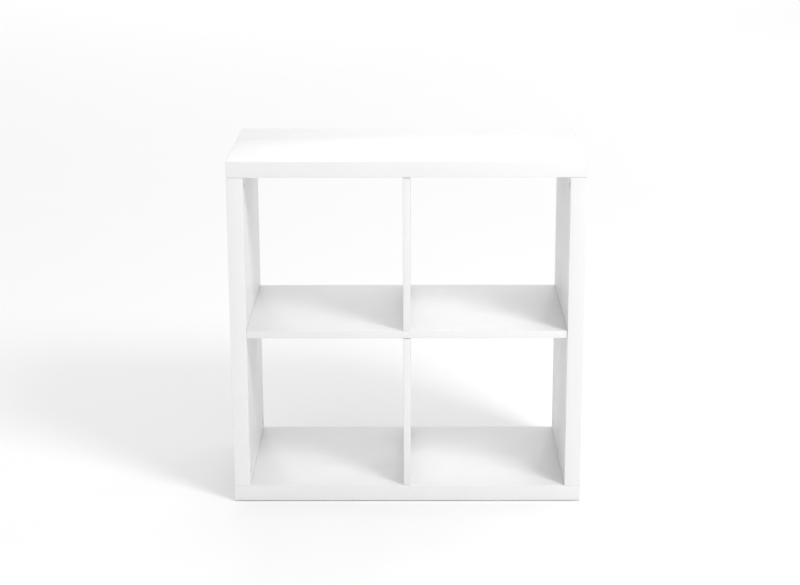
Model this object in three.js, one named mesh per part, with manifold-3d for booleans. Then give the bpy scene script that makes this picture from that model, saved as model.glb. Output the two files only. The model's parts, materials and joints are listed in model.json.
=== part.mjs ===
// A cube storage unit: two columns of two open cells. Four thick hollow-core panels make the outer
// case, and a thin shelf with a thin divider above and below it makes the cells. The case is held
// together by cam locks and dowels, so it comes apart again.
// Millimetres, +Z up, the front towards -Y. The origin is on the floor, below the middle of the unit.
import * as THREE from "three";
import { mergeVertices } from "three/addons/utils/BufferGeometryUtils.js";
import Module from "manifold-3d";

const wasm = await Module();
wasm.setup();

// Cells and boards.
const CELL_WIDTH = 340;
const CELL_HEIGHT = 340;
const DEPTH = 390; // front to back, over the edge bands
const PANEL = 34.5; // thickness of the four outer panels
const BOARD = 16; // thickness of the shelf and the dividers
const BOARD_SETBACK = 3; // the thin boards' edges stand this far inside the panels' edges, front and back

// Build-up of an outer panel.
const SKIN = 3;
const EDGE_BAND = 1;
const GLUE_LINE = 0.3;
const CORE_GAP = 0.5; // round the honeycomb, inside the frame's window
const RAIL_WALL = 5.5; // wood left between a cam's pocket and the frame's window
const COMB_CELL = 64; // honeycomb cell, flat to flat
const COMB_WALL = 2;
const COMB_LEAST = 20; // a part-cell at the honeycomb's edge is left open from this width up

// Joints between boards.
const SEAM = 0.3; // gap where the end of a side or of the shelf butts on a face
const DIVIDER_SEAT = 0.15; // gap under a divider's lower end, which stands on a face
const DIVIDER_PLAY = 1.2; // gap over a divider's upper end

// Cam locks.
const CAM_RADIUS = 7.25;
const CAM_CLEARANCE = 0.25; // round a cam in its pocket
const CAM_END_GAP = 0.5; // behind a cam in its pocket
const CAM_RECESS = 0.5; // a cam's face lies this far inside the side's inner face
const CAM_SETBACK = 37; // a cam's axis behind the front edge, and before the back edge
const CAM_DROP = 24; // a cam's axis from the face of the panel that it pulls on
const CAM_FLOOR = 1.6; // metal behind the bolt's head
const CAM_CHAMFER = 0.5;
const CLAW_RADIUS = 5.4; // inside of the two claws that grip the bolt's head
const CLAW_ECCENTRICITY = 0.25; // draws the head in as the cam turns
const DRIVE_LENGTH = 6; // cross recess in the cam's face
const DRIVE_WIDTH = 1.4;
const DRIVE_DEPTH = 3.2;
const POINTER_LENGTH = 2.2; // arrow in the cam's face, towards its mouth
const POINTER_WIDTH = 2.2;
const POINTER_DEPTH = 0.4;
const POINTER_MARGIN = 1.2; // from the arrow's tip to the cam's rim

// Cam bolts. Heights along a bolt start at the face that it is screwed into.
const THREAD_RADIUS = 3;
const THREAD_LENGTH = 11;
const THREAD_TIP = 1.2;
const COLLAR_RADIUS = 3.8;
const COLLAR_THICKNESS = 1.2;
const SHANK_RADIUS = 3;
const NECK_RADIUS = 2.3;
const NECK_TAPER = 0.7;
const HEAD_RADIUS = 3.4;
const HEAD_SEAT = 4.6; // from the cam's axis to where the head's cone leaves the neck
const HEAD_RIM = 3; // from the cam's axis to the wide end of the cone
const HEAD_BAND = 0.6; // straight part at the head's rim
const HEAD_CROWN = 1.4; // height of the head's crown
const HEAD_CLEARANCE = 0.4; // round the head inside the cam
const NECK_CLEARANCE = 0.4; // beside the neck in the cam's slot
const SHANK_GAP = 1.5; // between the shank and the cam
const BOLT_CLEARANCE = 0.5; // round a collar in the side's end bore
const PILOT_CLEARANCE = 0.3; // round a thread in its hole
const BOLT_END_GAP = 1;

// Dowels.
const DOWEL_RADIUS = 4;
const DOWEL_CHAMFER = 0.8;
const DOWEL_CLEARANCE = 0.3;
const DOWEL_END_GAP = 1;
const DOWEL_IN_PANEL = 11;
const DOWEL_IN_SIDE = 24; // up or down into the end of a side
const DOWEL_IN_BOARD = 19; // into the end of a thin board
const BOARD_DOWEL_SETBACK = 37; // behind the front edge, and before the back edge

// Glides.
const GLIDE_RADIUS = 10;
const GLIDE_THICKNESS = 2;
const GLIDE_EDGE = 0.6;
const GLIDE_GAP = 0.3; // between a glide and the panel above it
const GLIDE_INSET = 25; // from the unit's outer faces to a glide's middle
const NAIL_RADIUS = 1;
const NAIL_LENGTH = 11;
const NAIL_TIP = 2;
const NAIL_CLEARANCE = 0.3;

// How finely round shapes are faceted.
const CAM_FACETS = 14;
const BOLT_FACETS = 8;
const DOWEL_FACETS = 8;
const HOLE_FACETS = 10;
const OVERCUT = 1; // how far a cutting shape runs past the surface that it opens

// Sizes that follow.
const INNER_WIDTH = 2 * CELL_WIDTH + BOARD;
const INNER_HEIGHT = 2 * CELL_HEIGHT + BOARD;
const WIDTH = INNER_WIDTH + 2 * PANEL;
const CORE = PANEL - 2 * (SKIN + GLUE_LINE); // thickness of frame and honeycomb
const BANDING = EDGE_BAND + GLUE_LINE; // from an outer edge to the skins and the frame
const POCKET_RADIUS = CAM_RADIUS + CAM_CLEARANCE;
const RAIL = CAM_SETBACK + POCKET_RADIUS + RAIL_WALL; // from a panel's outer edge to the window
const END_RAIL = CAM_DROP + POCKET_RADIUS + RAIL_WALL; // from a side's end to the window
const BOLT_LINE = PANEL / 2; // from a side's inner face to the middle of bolts and corner dowels
const CAM_BOLT_LINE = BOLT_LINE - CAM_RECESS; // from a cam's face to the bolt
const HEAD_SPACE = HEAD_RADIUS + HEAD_CLEARANCE;
const CAM_LENGTH = CAM_BOLT_LINE + HEAD_SPACE + CAM_FLOOR;
const FLOOR_OF_CELLS = GLIDE_THICKNESS + PANEL;
const MID_HEIGHT = FLOOR_OF_CELLS + INNER_HEIGHT / 2;
const SIDE_AXIS_X = WIDTH / 2 - BOLT_LINE;
const CAM_Y = DEPTH / 2 - CAM_SETBACK;
const BOARD_DOWEL_Y = DEPTH / 2 - BOARD_DOWEL_SETBACK;

const UP = new THREE.Vector3(0, 0, 1);
const DOWN = new THREE.Vector3(0, 0, -1);

// A closed geometry as a solid that can be joined and cut.
function solidOf(geometry) {
  geometry.deleteAttribute("normal");
  geometry.deleteAttribute("uv");
  const merged = mergeVertices(geometry);
  const corners = merged.index.array;
  const kept = [];
  for (let i = 0; i < corners.length; i += 3) {
    const [a, b, c] = corners.slice(i, i + 3);
    if (a !== b && b !== c && a !== c) kept.push(a, b, c);
  }
  return new wasm.Manifold(
    new wasm.Mesh({
      numProp: 3,
      vertProperties: merged.attributes.position.array,
      triVerts: new Uint32Array(kept),
    }),
  );
}

// A solid back as a geometry for a mesh.
function geometryOf(solid) {
  const mesh = solid.getMesh();
  const geometry = new THREE.BufferGeometry();
  geometry.setAttribute("position", new THREE.BufferAttribute(mesh.vertProperties, 3));
  geometry.setIndex(new THREE.BufferAttribute(mesh.triVerts, 1));
  geometry.computeVertexNormals();
  return geometry;
}

function addPiece(parent, name, solid, material, place = {}) {
  const mesh = new THREE.Mesh(geometryOf(solid), material);
  mesh.name = name;
  mesh.position.set(...(place.position ?? [0, 0, 0]));
  mesh.rotation.set(...(place.rotation ?? [0, 0, 0]));
  parent.add(mesh);
  return mesh;
}

function finish(color, roughness, metalness) {
  return new THREE.MeshStandardMaterial({ color, roughness, metalness });
}
const whiteLacquer = () => finish(0xf4f4f2, 0.45, 0);
const whiteBand = () => finish(0xf2f2f0, 0.4, 0);
const chipboard = () => finish(0xc9ab80, 0.85, 0);
const kraftPaper = () => finish(0xb08d62, 0.9, 0);
const zincAlloy = () => finish(0xb9bcc0, 0.4, 0.9);
const platedSteel = () => finish(0xc8ccd0, 0.3, 1);
const beech = () => finish(0xd9b98c, 0.7, 0);
const whitePlastic = () => finish(0xeeeeec, 0.35, 0);

// A box between two corners.
function block([x0, y0, z0], [x1, y1, z1]) {
  const box = new THREE.BoxGeometry(x1 - x0, y1 - y0, z1 - z0);
  return solidOf(box.translate((x0 + x1) / 2, (y0 + y1) / 2, (z0 + z1) / 2));
}

// A flat slab centred on the origin in x and y, from height z0 to z1.
function slab(length, width, z0, z1) {
  return block([-length / 2, -width / 2, z0], [length / 2, width / 2, z1]);
}

// A solid of revolution about +Z from [radius, height] pairs that start and end on the axis,
// lowest first.
function turned(profile, facets) {
  const points = profile.map(([radius, height]) => new THREE.Vector2(radius, height));
  return solidOf(new THREE.LatheGeometry(points, facets).rotateX(Math.PI / 2));
}

// A round cutter of the given length, from a point along a direction.
function drill(from, direction, radius, length, facets = HOLE_FACETS) {
  const cylinder = new THREE.CylinderGeometry(radius, radius, length, facets);
  cylinder.translate(0, length / 2, 0);
  const turn = new THREE.Quaternion().setFromUnitVectors(new THREE.Vector3(0, 1, 0), direction);
  cylinder.applyQuaternion(turn);
  cylinder.translate(from.x, from.y, from.z);
  return solidOf(cylinder);
}

// A hole of the given depth into a face, opened with a little overcut.
function holeIn(x, y, z, inward, radius, depth, facets) {
  const mouth = new THREE.Vector3(x, y, z).addScaledVector(inward, -OVERCUT);
  return drill(mouth, inward, radius, depth + OVERCUT, facets);
}

const cut = (solid, cutters) => cutters.reduce((rest, cutter) => rest.subtract(cutter), solid);

// Paper honeycomb: a slab with six-sided cells through its thickness and a wall all round.
function honeycomb(length, width) {
  const pitch = COMB_CELL + COMB_WALL;
  const rowPitch = (pitch * Math.sqrt(3)) / 2;
  const corner = COMB_CELL / Math.sqrt(3);
  const innerLength = length - 2 * COMB_WALL;
  const innerWidth = width - 2 * COMB_WALL;
  const reachX = innerLength / 2 + COMB_CELL / 2 - COMB_LEAST;
  const reachY = innerWidth / 2 + corner - COMB_LEAST;
  const rows = Math.floor(reachY / rowPitch);
  let comb = slab(length, width, -CORE / 2, CORE / 2);
  const inside = slab(innerLength, innerWidth, -CORE, CORE);
  for (let row = -rows; row <= rows; row += 1) {
    const shift = row % 2 === 0 ? 0 : pitch / 2;
    const columns = Math.floor((reachX - shift) / pitch);
    for (let column = -columns - (shift ? 1 : 0); column <= columns; column += 1) {
      const cell = new THREE.CylinderGeometry(corner, corner, 4 * CORE, 6);
      cell.rotateX(Math.PI / 2);
      cell.translate(column * pitch + shift, row * rowPitch, 0);
      comb = comb.subtract(solidOf(cell).intersect(inside));
    }
  }
  return comb;
}

// A board's outline with a window in it, from height z0 to z1.
function ring(length, width, windowLength, windowWidth, z0, z1) {
  const window = slab(windowLength, windowWidth, z0 - OVERCUT, z1 + OVERCUT);
  return slab(length, width, z0, z1).subtract(window);
}

// The layers of a hollow-core panel, lying flat with its inner face down, drilled by the cutters.
function addPanelLayers(panel, name, length, width, endRail, sideRail, cutters) {
  const outer = PANEL / 2;
  const windowLength = length - 2 * endRail;
  const windowWidth = width - 2 * sideRail;
  const layer = (z0, z1) => cut(slab(length, width, z0, z1), cutters);
  addPiece(panel, `${name}_outer_skin`, layer(outer - SKIN, outer), whiteLacquer());
  addPiece(panel, `${name}_inner_skin`, layer(-outer, SKIN - outer), whiteLacquer());
  const frame = ring(length, width, windowLength, windowWidth, -CORE / 2, CORE / 2);
  addPiece(panel, `${name}_frame`, cut(frame, cutters), chipboard());
  const core = honeycomb(windowLength - 2 * CORE_GAP, windowWidth - 2 * CORE_GAP);
  addPiece(panel, `${name}_honeycomb`, core, kraftPaper());
}

const ENDS = [-1, 1];

// Holes on the inner face of the top or bottom panel: cam bolts and dowels.
function panelHoles() {
  const inner = -PANEL / 2;
  const pilot = THREAD_RADIUS + PILOT_CLEARANCE;
  const bore = DOWEL_RADIUS + DOWEL_CLEARANCE;
  const dowelDepth = DOWEL_IN_PANEL + DOWEL_END_GAP;
  const holes = [];
  for (const end of ENDS) {
    const x = end * SIDE_AXIS_X;
    for (const edge of ENDS) {
      holes.push(holeIn(x, edge * CAM_Y, inner, UP, pilot, THREAD_LENGTH + BOLT_END_GAP));
    }
    holes.push(holeIn(x, 0, inner, UP, bore, dowelDepth));
    holes.push(holeIn(0, end * BOARD_DOWEL_Y, inner, UP, bore, dowelDepth));
  }
  return holes;
}

// Holes on the outer face of the bottom panel for the glides' nails.
function nailHoles() {
  const depth = NAIL_LENGTH + NAIL_TIP;
  const holes = [];
  for (const end of ENDS) {
    for (const edge of ENDS) {
      const x = end * (WIDTH / 2 - GLIDE_INSET);
      const y = edge * (DEPTH / 2 - GLIDE_INSET);
      holes.push(holeIn(x, y, PANEL / 2, DOWN, NAIL_RADIUS + NAIL_CLEARANCE, depth));
    }
  }
  return holes;
}

// Top or bottom panel: hollow-core, with one edge band round all four edges.
function addTopOrBottom(unit, name, place, cutters) {
  const panel = new THREE.Group();
  panel.position.set(0, 0, place.height);
  panel.rotation.set(0, place.turn, 0);
  unit.add(panel);
  const length = WIDTH - 2 * BANDING;
  const width = DEPTH - 2 * BANDING;
  addPanelLayers(panel, name, length, width, RAIL - BANDING, RAIL - BANDING, cutters);
  const bandLength = WIDTH - 2 * EDGE_BAND;
  const bandWidth = DEPTH - 2 * EDGE_BAND;
  const band = ring(WIDTH, DEPTH, bandLength, bandWidth, -PANEL / 2, PANEL / 2);
  addPiece(panel, `${name}_edge_band`, band, whiteBand());
}

// Holes in a side panel: cam pockets and shelf dowels in its inner face, bolts and dowels in its ends.
function sideHoles(length) {
  const inner = -PANEL / 2;
  const bore = DOWEL_RADIUS + DOWEL_CLEARANCE;
  const pocketDepth = CAM_RECESS + CAM_LENGTH + CAM_END_GAP;
  const boltBore = COLLAR_RADIUS + BOLT_CLEARANCE;
  const holes = [];
  for (const end of ENDS) {
    const inward = new THREE.Vector3(-end, 0, 0);
    const face = (end * length) / 2;
    for (const edge of ENDS) {
      const x = end * (INNER_HEIGHT / 2 - CAM_DROP);
      const y = edge * CAM_Y;
      holes.push(holeIn(x, y, inner, UP, POCKET_RADIUS, pocketDepth, CAM_FACETS));
      holes.push(holeIn(face, y, 0, inward, boltBore, CAM_DROP));
    }
    holes.push(holeIn(face, 0, 0, inward, bore, DOWEL_IN_SIDE + DOWEL_END_GAP));
    holes.push(holeIn(0, end * BOARD_DOWEL_Y, inner, UP, bore, DOWEL_IN_PANEL + DOWEL_END_GAP));
  }
  return holes;
}

// Cam in its own frame: +Z out of its face, the face at z = 0, and +X towards the bolt when locked.
// Turning it by half a turn about +Z brings its mouth round to the bolt, which frees the head.
function camSolid() {
  const facet = CAM_CHAMFER;
  const body = turned(
    [
      [0, -CAM_LENGTH],
      [CAM_RADIUS - facet, -CAM_LENGTH],
      [CAM_RADIUS, facet - CAM_LENGTH],
      [CAM_RADIUS, -facet],
      [CAM_RADIUS - facet, 0],
      [0, 0],
    ],
    CAM_FACETS,
  );
  const claws = drill(
    new THREE.Vector3(-CLAW_ECCENTRICITY, 0, -CAM_BOLT_LINE - HEAD_SPACE),
    UP,
    CLAW_RADIUS,
    2 * HEAD_SPACE,
    CAM_FACETS,
  );
  const half = NECK_RADIUS + NECK_CLEARANCE;
  const past = CAM_RADIUS + OVERCUT;
  const slot = block([-past, -past, -CAM_BOLT_LINE - half], [past, half, half - CAM_BOLT_LINE]);
  const centre = new THREE.Vector3(0, 0, -CAM_BOLT_LINE);
  const mouth = drill(centre, new THREE.Vector3(-1, 0, 0), HEAD_SPACE, past);
  const long = DRIVE_LENGTH / 2;
  const thin = DRIVE_WIDTH / 2;
  const driveX = block([-long, -thin, -DRIVE_DEPTH], [long, thin, OVERCUT]);
  const driveY = block([-thin, -long, -DRIVE_DEPTH], [thin, long, OVERCUT]);
  return cut(body, [claws, slot, mouth, driveX, driveY, camPointer()]);
}

// The arrow in a cam's face, pointing the way its mouth opens.
function camPointer() {
  const tip = POINTER_MARGIN - CAM_RADIUS;
  const base = tip + POINTER_LENGTH;
  const outline = new THREE.Shape([
    new THREE.Vector2(tip, 0),
    new THREE.Vector2(base, -POINTER_WIDTH / 2),
    new THREE.Vector2(base, POINTER_WIDTH / 2),
  ]);
  const depth = POINTER_DEPTH + OVERCUT;
  const arrow = new THREE.ExtrudeGeometry(outline, { depth, bevelEnabled: false });
  return solidOf(arrow.translate(0, 0, -POINTER_DEPTH));
}

// Cam bolt in its own frame: z = 0 at the face that it is screwed into, its head up.
function boltSolid() {
  const shankEnd = CAM_DROP - CAM_RADIUS - SHANK_GAP;
  const rim = CAM_DROP - HEAD_RIM;
  return turned(
    [
      [0, -THREAD_LENGTH],
      [THREAD_RADIUS - THREAD_TIP, -THREAD_LENGTH],
      [THREAD_RADIUS, THREAD_TIP - THREAD_LENGTH],
      [THREAD_RADIUS, SEAM],
      [COLLAR_RADIUS, SEAM],
      [COLLAR_RADIUS, SEAM + COLLAR_THICKNESS],
      [SHANK_RADIUS, SEAM + COLLAR_THICKNESS],
      [SHANK_RADIUS, shankEnd - NECK_TAPER],
      [NECK_RADIUS, shankEnd],
      [NECK_RADIUS, CAM_DROP - HEAD_SEAT],
      [HEAD_RADIUS, rim],
      [HEAD_RADIUS, rim + HEAD_BAND],
      [HEAD_RADIUS - HEAD_CROWN / 2, rim + HEAD_BAND + HEAD_CROWN],
      [0, rim + HEAD_BAND + HEAD_CROWN],
    ],
    BOLT_FACETS,
  );
}

// Side panel: hollow-core, with an edge band at the front and the back, its four cams in its inner face.
function addSide(unit, name, hand) {
  const side = new THREE.Group();
  side.position.set(hand * SIDE_AXIS_X, 0, MID_HEIGHT);
  side.rotation.set(0, (hand * Math.PI) / 2, 0);
  unit.add(side);
  const length = INNER_HEIGHT - 2 * SEAM;
  const width = DEPTH - 2 * BANDING;
  const holes = sideHoles(length);
  addPanelLayers(side, `${name}_side`, length, width, END_RAIL - SEAM, RAIL - BANDING, holes);
  const edges = { front: -1, back: 1 };
  for (const [edge, sign] of Object.entries(edges)) {
    const outside = (sign * DEPTH) / 2;
    const inside = outside - sign * EDGE_BAND;
    const band = block(
      [-length / 2, Math.min(outside, inside), -PANEL / 2],
      [length / 2, Math.max(outside, inside), PANEL / 2],
    );
    addPiece(side, `${name}_side_${edge}_edge_band`, band, whiteBand());
    // The side's own +X end is its lower end on the right and its upper end on the left.
    for (const end of ENDS) {
      const level = end * hand > 0 ? "bottom" : "top";
      const x = end * (INNER_HEIGHT / 2 - CAM_DROP);
      const position = [x, sign * CAM_Y, CAM_RECESS - PANEL / 2];
      const rotation = end > 0 ? [Math.PI, 0, 0] : [0, Math.PI, 0];
      const place = { position, rotation };
      addPiece(side, `cam_${name}_${level}_${edge}`, camSolid(), zincAlloy(), place);
    }
  }
}

function dowelSolid(length) {
  const edge = DOWEL_CHAMFER;
  return turned(
    [
      [0, -length / 2],
      [DOWEL_RADIUS - edge, -length / 2],
      [DOWEL_RADIUS, edge - length / 2],
      [DOWEL_RADIUS, length / 2 - edge],
      [DOWEL_RADIUS - edge, length / 2],
      [0, length / 2],
    ],
    DOWEL_FACETS,
  );
}

// Cam bolts and corner dowels, standing in the bottom panel and hanging from the top panel.
function addCornerJoints(unit, side, x) {
  const levels = {
    bottom: { face: FLOOR_OF_CELLS, into: 1, turn: 0 },
    top: { face: FLOOR_OF_CELLS + INNER_HEIGHT, into: -1, turn: Math.PI },
  };
  for (const [level, { face, into, turn }] of Object.entries(levels)) {
    for (const [edge, sign] of Object.entries({ front: -1, back: 1 })) {
      const place = { position: [x, sign * CAM_Y, face], rotation: [turn, 0, 0] };
      addPiece(unit, `cam_bolt_${side}_${level}_${edge}`, boltSolid(), platedSteel(), place);
    }
    const middle = face + (into * (DOWEL_IN_SIDE - DOWEL_IN_PANEL)) / 2;
    const dowel = dowelSolid(DOWEL_IN_SIDE + DOWEL_IN_PANEL);
    addPiece(unit, `corner_dowel_${side}_${level}`, dowel, beech(), { position: [x, 0, middle] });
  }
}

// The shelf runs the whole inner width, with dowel holes in its ends and through its middle.
function addShelf(unit) {
  const length = INNER_WIDTH - 2 * SEAM;
  const bore = DOWEL_RADIUS + DOWEL_CLEARANCE;
  const holes = [];
  for (const edge of ENDS) {
    const y = edge * BOARD_DOWEL_Y;
    holes.push(holeIn(0, y, BOARD / 2, DOWN, bore, BOARD + OVERCUT));
    for (const end of ENDS) {
      const inward = new THREE.Vector3(-end, 0, 0);
      const face = (end * length) / 2;
      holes.push(holeIn(face, y, 0, inward, bore, DOWEL_IN_BOARD + DOWEL_END_GAP));
    }
  }
  const board = slab(length, DEPTH - 2 * BOARD_SETBACK, -BOARD / 2, BOARD / 2);
  const place = { position: [0, 0, MID_HEIGHT] };
  addPiece(unit, "middle_shelf", cut(board, holes), whiteLacquer(), place);
}

// A divider stands upright between the shelf and a panel, with two dowel holes in each end.
function addDivider(unit, name, height) {
  const low = DIVIDER_SEAT - CELL_HEIGHT / 2;
  const high = CELL_HEIGHT / 2 - DIVIDER_PLAY;
  const depth = DEPTH / 2 - BOARD_SETBACK;
  const bore = DOWEL_RADIUS + DOWEL_CLEARANCE;
  const holes = [];
  for (const edge of ENDS) {
    const y = edge * BOARD_DOWEL_Y;
    holes.push(holeIn(0, y, high, DOWN, bore, DOWEL_IN_BOARD + DOWEL_END_GAP));
    holes.push(holeIn(0, y, low, UP, bore, DOWEL_IN_BOARD + DOWEL_END_GAP));
  }
  const board = block([-BOARD / 2, -depth, low], [BOARD / 2, depth, high]);
  addPiece(unit, name, cut(board, holes), whiteLacquer(), { position: [0, 0, height] });
}

// Dowels that place the thin boards: at the shelf's ends, and above, through and below the shelf.
function addBoardDowels(unit) {
  const across = [0, Math.PI / 2, 0];
  const short = DOWEL_IN_PANEL + DOWEL_IN_BOARD;
  const offset = (DOWEL_IN_BOARD - DOWEL_IN_PANEL) / 2;
  const top = FLOOR_OF_CELLS + INNER_HEIGHT;
  for (const [edge, sign] of Object.entries({ front: -1, back: 1 })) {
    const y = sign * BOARD_DOWEL_Y;
    for (const [side, hand] of Object.entries({ left: -1, right: 1 })) {
      const position = [hand * (INNER_WIDTH / 2 - offset), y, MID_HEIGHT];
      const place = { position, rotation: across };
      addPiece(unit, `shelf_dowel_${side}_${edge}`, dowelSolid(short), beech(), place);
    }
    const uprights = {
      bottom: [FLOOR_OF_CELLS + offset, short],
      middle: [MID_HEIGHT, BOARD + 2 * DOWEL_IN_BOARD],
      top: [top - offset, short],
    };
    for (const [level, [height, length]] of Object.entries(uprights)) {
      const place = { position: [0, y, height] };
      addPiece(unit, `divider_dowel_${level}_${edge}`, dowelSolid(length), beech(), place);
    }
  }
}

// Glide: a plastic disc on the floor with a nail up into the bottom panel.
function glideSolid() {
  const discTop = GLIDE_THICKNESS - GLIDE_GAP;
  return turned(
    [
      [0, 0],
      [GLIDE_RADIUS - GLIDE_EDGE, 0],
      [GLIDE_RADIUS, GLIDE_EDGE],
      [GLIDE_RADIUS, discTop],
      [NAIL_RADIUS, discTop],
      [NAIL_RADIUS, discTop + NAIL_LENGTH - NAIL_TIP],
      [0, discTop + NAIL_LENGTH],
    ],
    CAM_FACETS,
  );
}

function addGlides(unit) {
  for (const [side, hand] of Object.entries({ left: -1, right: 1 })) {
    for (const [edge, sign] of Object.entries({ front: -1, back: 1 })) {
      const x = hand * (WIDTH / 2 - GLIDE_INSET);
      const y = sign * (DEPTH / 2 - GLIDE_INSET);
      addPiece(unit, `glide_${side}_${edge}`, glideSolid(), whitePlastic(), { position: [x, y, 0] });
    }
  }
}

function cubeStorageUnit() {
  const unit = new THREE.Group();
  const topHeight = FLOOR_OF_CELLS + INNER_HEIGHT + PANEL / 2;
  const bottomHeight = GLIDE_THICKNESS + PANEL / 2;
  const bottomHoles = [...panelHoles(), ...nailHoles()];
  addTopOrBottom(unit, "top_panel", { height: topHeight, turn: 0 }, panelHoles());
  addTopOrBottom(unit, "bottom_panel", { height: bottomHeight, turn: Math.PI }, bottomHoles);
  addSide(unit, "left", -1);
  addSide(unit, "right", 1);
  addCornerJoints(unit, "left", -SIDE_AXIS_X);
  addCornerJoints(unit, "right", SIDE_AXIS_X);
  addShelf(unit);
  addDivider(unit, "upper_divider", MID_HEIGHT + (BOARD + CELL_HEIGHT) / 2);
  addDivider(unit, "lower_divider", MID_HEIGHT - (BOARD + CELL_HEIGHT) / 2);
  addBoardDowels(unit);
  addGlides(unit);
  return unit;
}

export default cubeStorageUnit();
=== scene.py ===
import json
import math

import bmesh
import bpy
from mathutils import Matrix, Vector


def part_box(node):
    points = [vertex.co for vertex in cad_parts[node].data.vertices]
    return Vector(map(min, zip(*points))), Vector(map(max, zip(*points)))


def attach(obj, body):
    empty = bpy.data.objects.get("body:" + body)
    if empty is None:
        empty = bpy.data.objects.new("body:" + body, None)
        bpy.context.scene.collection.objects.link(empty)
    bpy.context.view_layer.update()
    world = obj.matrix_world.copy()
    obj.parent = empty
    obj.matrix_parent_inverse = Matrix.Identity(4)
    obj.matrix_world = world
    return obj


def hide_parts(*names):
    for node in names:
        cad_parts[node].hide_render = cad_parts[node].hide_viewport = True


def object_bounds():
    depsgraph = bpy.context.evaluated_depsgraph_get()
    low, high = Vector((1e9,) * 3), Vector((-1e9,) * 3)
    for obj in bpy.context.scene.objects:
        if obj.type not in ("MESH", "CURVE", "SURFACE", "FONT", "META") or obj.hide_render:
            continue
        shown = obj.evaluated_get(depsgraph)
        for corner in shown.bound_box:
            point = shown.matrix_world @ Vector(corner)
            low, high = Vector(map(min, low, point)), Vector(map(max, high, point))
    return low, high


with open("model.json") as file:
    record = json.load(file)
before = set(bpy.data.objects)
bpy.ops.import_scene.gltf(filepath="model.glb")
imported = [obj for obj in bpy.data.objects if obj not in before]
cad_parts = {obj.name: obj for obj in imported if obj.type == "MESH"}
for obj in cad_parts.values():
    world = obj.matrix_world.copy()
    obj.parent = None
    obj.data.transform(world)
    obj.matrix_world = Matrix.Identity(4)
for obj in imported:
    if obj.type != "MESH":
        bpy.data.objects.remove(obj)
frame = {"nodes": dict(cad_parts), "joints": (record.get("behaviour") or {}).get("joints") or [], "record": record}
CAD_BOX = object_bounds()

# A cube storage unit in white lacquer: hollow-core panels with edge bands, foil-wrapped inner boards,
# and the fittings that hold them. Metres, +Z up, the front towards -Y. Places come from the frame.

MM = 0.001
RECORD = frame["record"]
BODY_OF = {node: body for body, nodes in RECORD["behaviour"]["bodies"].items() for node in nodes}
PANELS = ("top_panel", "bottom_panel", "left_side", "right_side")
CASE_MIDDLE = (Vector(CAD_BOX[0]) + Vector(CAD_BOX[1])) / 2
X, Y, Z = range(3)

# Fine shape of boards and bands.
HAIRLINE = 0.06 * MM  # open joint between a skin and its edge band
SKIN_ARRIS = 0.12 * MM
BAND_ROUNDING = 0.85 * MM
BOARD_ROUNDING = 1.0 * MM
BOARD_ARRIS = 0.15 * MM
HOLE_LIP = 0.25 * MM  # rounding of a hole's edge
OVERCUT = 1.0 * MM  # how far a cutter stands out of the face that it opens
TOUCHING = 0.001 * MM  # points closer than this count as one
ALONG_AXIS = 0.999  # least share of a direction that runs along an axis
SQUARE_ANGLE = 70  # least turn in degrees at an edge that is still square
SHARP_ANGLE = 40  # greatest turn in degrees at an edge that is shaded smooth
ROUND_PROFILE = 0.5  # makes a bevel a quarter circle
ROUND_STEPS = 4
FINE_STEPS = 2
HOLE_SIDES = 48

# Grain of the finishes that run one way.
DRAW_LENGTH = 60 * MM
DRAW_WIDTH = 0.35 * MM
GRAIN_RUN = 12  # length of beech's grain beside its width

# Cam locks.
CAM_HOLE_RADIUS = 7.5 * MM
CAM_RADIUS = 7.25 * MM
CAM_LENGTH = 22.1 * MM
CAM_BOLT_LINE = 16.75 * MM  # from a cam's face to the middle of the bolt
CAM_SIDES = 48
CAM_EDGE = 0.45 * MM
CAM_DISH = 0.35 * MM  # the face is dished inside its rim
CAM_RIM = 1.1 * MM
CLAW_NEAR = 5.15 * MM  # claw radius at the locked end and at the open end
CLAW_FAR = 5.65 * MM
HEAD_SPACE = 3.8 * MM
NECK_SPACE = 2.7 * MM
CROSS_LONG = 5.6 * MM
CROSS_WIDE = 1.5 * MM
CROSS_TIP = 0.8 * MM
CROSS_DEPTH = 3.2 * MM
POINTER_LONG = 1.9 * MM
POINTER_WIDE = 1.9 * MM
POINTER_DEEP = 0.4 * MM
POINTER_TIP = 6.2 * MM  # from the cam's axis

# Cam bolts, heights from the face that they are screwed into.
BOLT_SIDES = 32
THREAD_CORE = 2.45 * MM
THREAD_OUTER = 3.0 * MM
THREAD_PITCH = 2.0 * MM
THREAD_LENGTH = 11 * MM
THREAD_TIP = 2.2 * MM
THREAD_POINT = 0.35  # width of the tip as a share of the core
THREAD_STEPS = 28  # points in each turn
THREAD_CORNERS = 4  # of a thread's section
COLLAR_RADIUS = 3.8 * MM
COLLAR_BASE = 0.3 * MM
COLLAR_TOP = 1.5 * MM
COLLAR_EDGE = 0.2 * MM
SHANK_RADIUS = 3.0 * MM
SHANK_END = 15.2 * MM
NECK_RADIUS = 2.3 * MM
NECK_TAPER = 0.7 * MM
HEAD_RADIUS = 3.4 * MM
HEAD_CONE = 19.4 * MM
HEAD_RIM = 21.0 * MM
HEAD_TOP = 23.0 * MM
CROWN_ROUNDING = 1.2 * MM
BOLT_CROSS = 0.62  # the bolt's cross recess beside the cam's

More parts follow.
